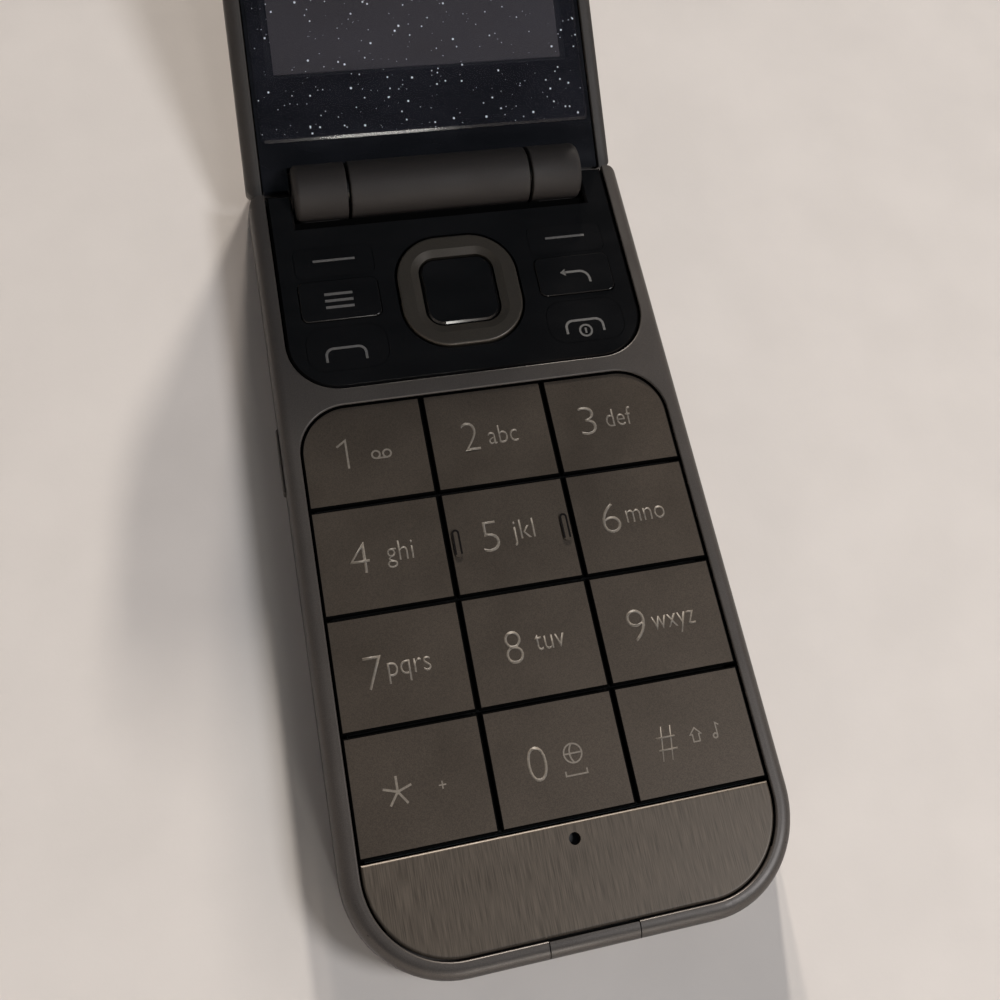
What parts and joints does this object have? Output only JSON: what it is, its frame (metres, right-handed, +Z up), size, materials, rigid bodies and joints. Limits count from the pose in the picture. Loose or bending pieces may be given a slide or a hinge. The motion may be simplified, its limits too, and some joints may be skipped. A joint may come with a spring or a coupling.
{
  "type": "flip phone",
  "caption": "Clamshell telephone with a lid on a three-piece hinge barrel, a flush number keypad and a glossy function plate round a square navigation ring.",
  "frame": {"origin": "centre of the base's flat back", "axes": "+X to the right of the keypad, +Y from the chin towards the hinge, +Z up from the back"},
  "size_m": [0.055, 0.198, 0.0484],
  "materials": {
    "housing": "warm dark grey metallic paint, satin",
    "keys": "warm dark grey metallic paint, satin",
    "chin": "warm grey, brushed along the length",
    "gloss": "near black, polished",
    "glass": "dark display glass",
    "barrel": "warm dark grey metallic paint, satin",
    "ring": "warm grey metallic paint, satin",
    "steel": "plain steel",
    "board": "green laminate",
    "module": "black plastic",
    "cell": "sleeved cell",
    "silicone": "translucent silicone film",
    "rubber": "soft black"
  },
  "bodies": {
    "base": {"base_frame": "housing", "rear_cover": "housing", "chassis_plate": "steel", "main_board": "board", "metal_domes": "steel", "key_mat": "silicone", "chin_plate": "chin", "function_plate": "gloss", "port_bezel": "housing", "charging_port": "steel", "headset_jack": "module", "microphone": "module", "battery": "cell", "battery_contacts": "steel", "card_socket": "steel", "loudspeaker": "module", "vibration_motor": "steel", "housing_screws": "steel", "knuckle_left": "barrel", "knuckle_right": "barrel", "hinge_pin": "steel", "hinge_detent": "steel"},
    "lid": {"lid_frame": "housing", "lid_cover": "housing", "lid_panel": "gloss", "display_glass": "glass", "main_display": "module", "earpiece": "module", "lid_board": "board", "outer_window": "gloss", "outer_display": "module", "camera_module": "module", "camera_window": "glass", "flash_lamp": "glass", "lid_bumpers": "rubber", "lid_screws": "steel", "hinge_barrel": "barrel"},
    "key_1": {"key_1": "keys"},
    "key_2": {"key_2": "keys"},
    "key_3": {"key_3": "keys"},
    "key_4": {"key_4": "keys"},
    "key_5": {"key_5": "keys"},
    "key_6": {"key_6": "keys"},
    "key_7": {"key_7": "keys"},
    "key_8": {"key_8": "keys"},
    "key_9": {"key_9": "keys"},
    "key_star": {"key_star": "keys"},
    "key_0": {"key_0": "keys"},
    "key_hash": {"key_hash": "keys"},
    "soft_key_left": {"soft_key_left": "gloss"},
    "soft_key_right": {"soft_key_right": "gloss"},
    "menu_key": {"menu_key": "gloss"},
    "back_key": {"back_key": "gloss"},
    "call_key": {"call_key": "gloss"},
    "end_key": {"end_key": "gloss"},
    "select_key": {"select_key": "gloss"},
    "nav_spring_frame": {"nav_spring_frame": "steel"},
    "nav_ring": {"nav_ring": "ring"},
    "left_side_key": {"left_side_key": "housing"},
    "volume_rocker": {"volume_rocker": "housing"}
  },
  "joints": [
    {"name": "lid_hinge", "type": "hinge", "parent": "base", "child": "lid", "pos_m": [0, 0.05085, 0.00805], "axis": [1, 0, 0], "range_deg": [0, 156]},
    {"name": "key_1_press", "type": "slide", "parent": "base", "child": "key_1", "axis": [0, 0, -1], "range_m": [0, 0.00025], "stiffness_N_per_m": 1000},
    {"name": "key_2_press", "type": "slide", "parent": "base", "child": "key_2", "axis": [0, 0, -1], "range_m": [0, 0.00025], "stiffness_N_per_m": 1000},
    {"name": "key_3_press", "type": "slide", "parent": "base", "child": "key_3", "axis": [0, 0, -1], "range_m": [0, 0.00025], "stiffness_N_per_m": 1000},
    {"name": "key_4_press", "type": "slide", "parent": "base", "child": "key_4", "axis": [0, 0, -1], "range_m": [0, 0.00025], "stiffness_N_per_m": 1000},
    {"name": "key_5_press", "type": "slide", "parent": "base", "child": "key_5", "axis": [0, 0, -1], "range_m": [0, 0.00025], "stiffness_N_per_m": 1000},
    {"name": "key_6_press", "type": "slide", "parent": "base", "child": "key_6", "axis": [0, 0, -1], "range_m": [0, 0.00025], "stiffness_N_per_m": 1000},
    {"name": "key_7_press", "type": "slide", "parent": "base", "child": "key_7", "axis": [0, 0, -1], "range_m": [0, 0.00025], "stiffness_N_per_m": 1000},
    {"name": "key_8_press", "type": "slide", "parent": "base", "child": "key_8", "axis": [0, 0, -1], "range_m": [0, 0.00025], "stiffness_N_per_m": 1000},
    {"name": "key_9_press", "type": "slide", "parent": "base", "child": "key_9", "axis": [0, 0, -1], "range_m": [0, 0.00025], "stiffness_N_per_m": 1000},
    {"name": "key_star_press", "type": "slide", "parent": "base", "child": "key_star", "axis": [0, 0, -1], "range_m": [0, 0.00025], "stiffness_N_per_m": 1000},
    {"name": "key_0_press", "type": "slide", "parent": "base", "child": "key_0", "axis": [0, 0, -1], "range_m": [0, 0.00025], "stiffness_N_per_m": 1000},
    {"name": "key_hash_press", "type": "slide", "parent": "base", "child": "key_hash", "axis": [0, 0, -1], "range_m": [0, 0.00025], "stiffness_N_per_m": 1000},
    {"name": "soft_key_left_press", "type": "slide", "parent": "base", "child": "soft_key_left", "axis": [0, 0, -1], "range_m": [0, 0.00025], "stiffness_N_per_m": 1000},
    {"name": "soft_key_right_press", "type": "slide", "parent": "base", "child": "soft_key_right", "axis": [0, 0, -1], "range_m": [0, 0.00025], "stiffness_N_per_m": 1000},
    {"name": "menu_key_press", "type": "slide", "parent": "base", "child": "menu_key", "axis": [0, 0, -1], "range_m": [0, 0.00025], "stiffness_N_per_m": 1000},
    {"name": "back_key_press", "type": "slide", "parent": "base", "child": "back_key", "axis": [0, 0, -1], "range_m": [0, 0.00025], "stiffness_N_per_m": 1000},
    {"name": "call_key_press", "type": "slide", "parent": "base", "child": "call_key", "axis": [0, 0, -1], "range_m": [0, 0.00025], "stiffness_N_per_m": 1000},
    {"name": "end_key_press", "type": "slide", "parent": "base", "child": "end_key", "axis": [0, 0, -1], "range_m": [0, 0.00025], "stiffness_N_per_m": 1000},
    {"name": "select_key_press", "type": "slide", "parent": "base", "child": "select_key", "axis": [0, 0, -1], "range_m": [0, 0.00025], "stiffness_N_per_m": 1000},
    {"name": "nav_pitch", "type": "hinge", "parent": "base", "child": "nav_spring_frame", "pos_m": [0, 0.033, 0.0072], "axis": [1, 0, 0], "range_deg": [-1.5, 1.5], "stiffness_Nm_per_rad": 0.05},
    {"name": "nav_roll", "type": "hinge", "parent": "nav_spring_frame", "child": "nav_ring", "pos_m": [0, 0.033, 0.0072], "axis": [0, 1, 0], "range_deg": [-1.5, 1.5], "stiffness_Nm_per_rad": 0.05},
    {"name": "left_side_key_press", "type": "slide", "parent": "base", "child": "left_side_key", "axis": [1, 0, 0], "range_m": [0, 0.0003], "stiffness_N_per_m": 1000},
    {"name": "volume_rocker_rock", "type": "hinge", "parent": "base", "child": "volume_rocker", "pos_m": [0.0266, 0.0229, 0.00455], "axis": [0, 0, 1], "range_deg": [-1.5, 1.5], "stiffness_Nm_per_rad": 0.05}
  ]
}
